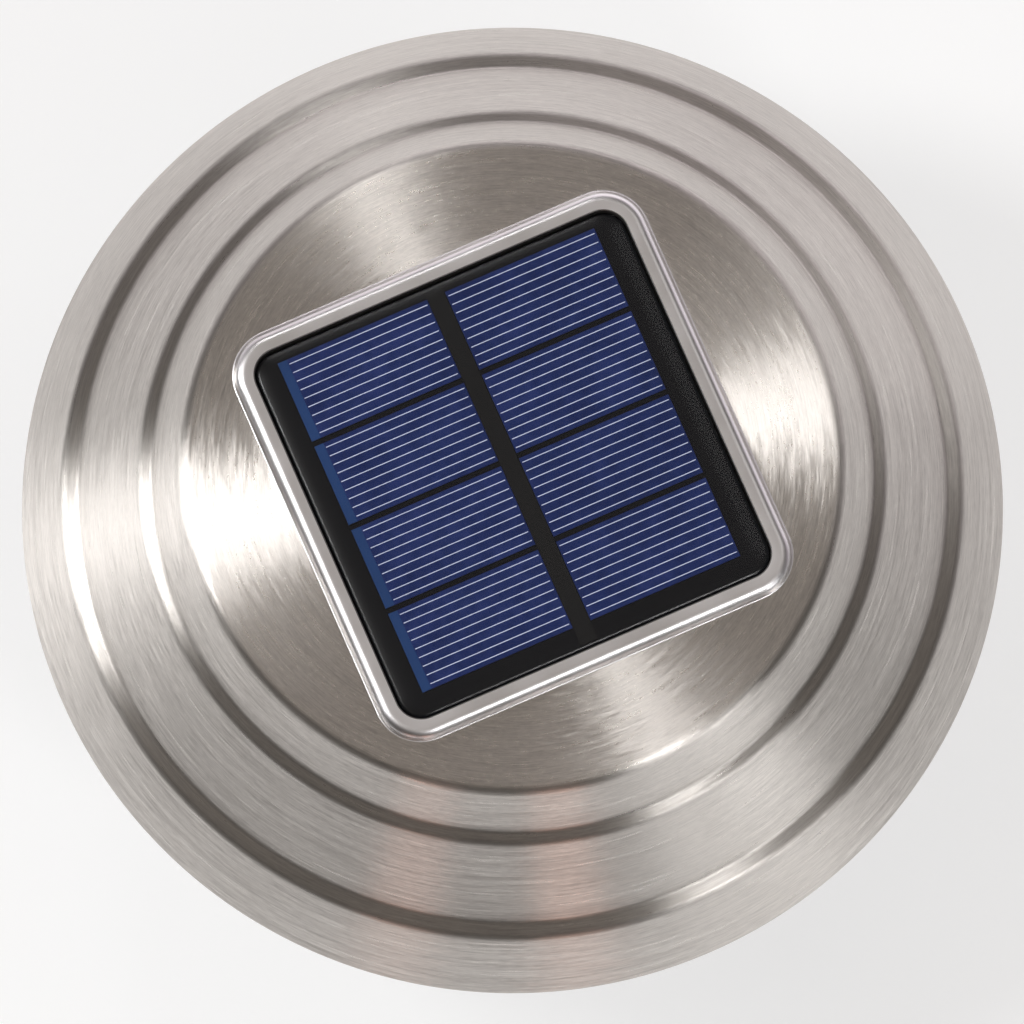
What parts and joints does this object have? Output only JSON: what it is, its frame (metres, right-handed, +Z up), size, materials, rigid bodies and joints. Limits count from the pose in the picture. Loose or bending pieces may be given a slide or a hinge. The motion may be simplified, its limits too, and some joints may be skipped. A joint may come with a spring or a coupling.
{
  "type": "solar fence light",
  "caption": "Round solar light with a stepped brushed steel cap, a square solar panel on top and a fluted lens below, hung on a flat bracket screwed to a fence.",
  "frame": {"origin": "middle of the bracket's flat back face, halfway between its two screw holes", "axes": "+Z up, +Y into the fence, -Y the light's front, X along the fence"},
  "size_m": [0.15, 0.151, 0.1017],
  "materials": {
    "steel": "brushed round the cap's axis, satin",
    "panel_black": "gloss",
    "cell_blue": "satin silicon with pale printed lines",
    "tape_black": "satin",
    "clear_resin": "clear gloss",
    "seal_rubber": "matte",
    "black_plastic": "fine matte",
    "white_plastic": "satin",
    "screw_steel": "bright plated",
    "board_green": "gloss lacquer",
    "component_dark": "matte",
    "cell_sleeve": "gloss shrink sleeve, unmarked",
    "contact_nickel": "bright plated",
    "board_white": "gloss lacquer",
    "led_yellow": "satin",
    "reflector_bright": "mirror plated",
    "lead_red": "satin",
    "lead_black": "satin",
    "lens_frosted": "satin frosted"
  },
  "bodies": {
    "bracket": {"fence_bracket": "black_plastic"},
    "light": {"cap_shell": "steel", "panel_board": "panel_black", "solar_cells": "cell_blue", "panel_strip": "tape_black", "panel_resin": "clear_resin", "panel_gasket": "seal_rubber", "housing": "black_plastic", "base_plate": "white_plastic", "plate_screws": "screw_steel", "circuit_board": "board_green", "circuit_components": "component_dark", "circuit_screws": "screw_steel", "switch_body": "component_dark", "battery_cell": "cell_sleeve", "battery_positive": "contact_nickel", "battery_negative": "contact_nickel", "led_board": "board_white", "leds": "led_yellow", "led_screws": "screw_steel", "reflector_cup": "reflector_bright", "panel_lead_red": "lead_red", "panel_lead_black": "lead_black", "battery_lead_red": "lead_red", "battery_lead_black": "lead_black", "led_lead_red": "lead_red", "led_lead_black": "lead_black", "lens_gasket": "seal_rubber", "mount_socket": "black_plastic", "socket_screws": "screw_steel"},
    "lens": {"lens": "lens_frosted"},
    "battery_door": {"battery_door": "white_plastic"},
    "switch": {"switch_slider": "black_plastic"}
  },
  "joints": [
    {"name": "light_lift", "type": "slide", "parent": "bracket", "child": "light", "axis": [0, 0, 1], "range_m": [0, 0.024]},
    {"name": "lens_twist", "type": "hinge", "parent": "light", "child": "lens", "pos_m": [0, -0.076, 0.042], "axis": [0, 0, -1], "range_deg": [0, 20]},
    {"name": "battery_door_hinge", "type": "hinge", "parent": "light", "child": "battery_door", "pos_m": [0, -0.1146, 0.0391], "axis": [-1, 0, 0], "range_deg": [0, 80]},
    {"name": "switch_slide", "type": "slide", "parent": "light", "child": "switch", "axis": [1, 0, 0], "range_m": [0, 0.003]}
  ]
}
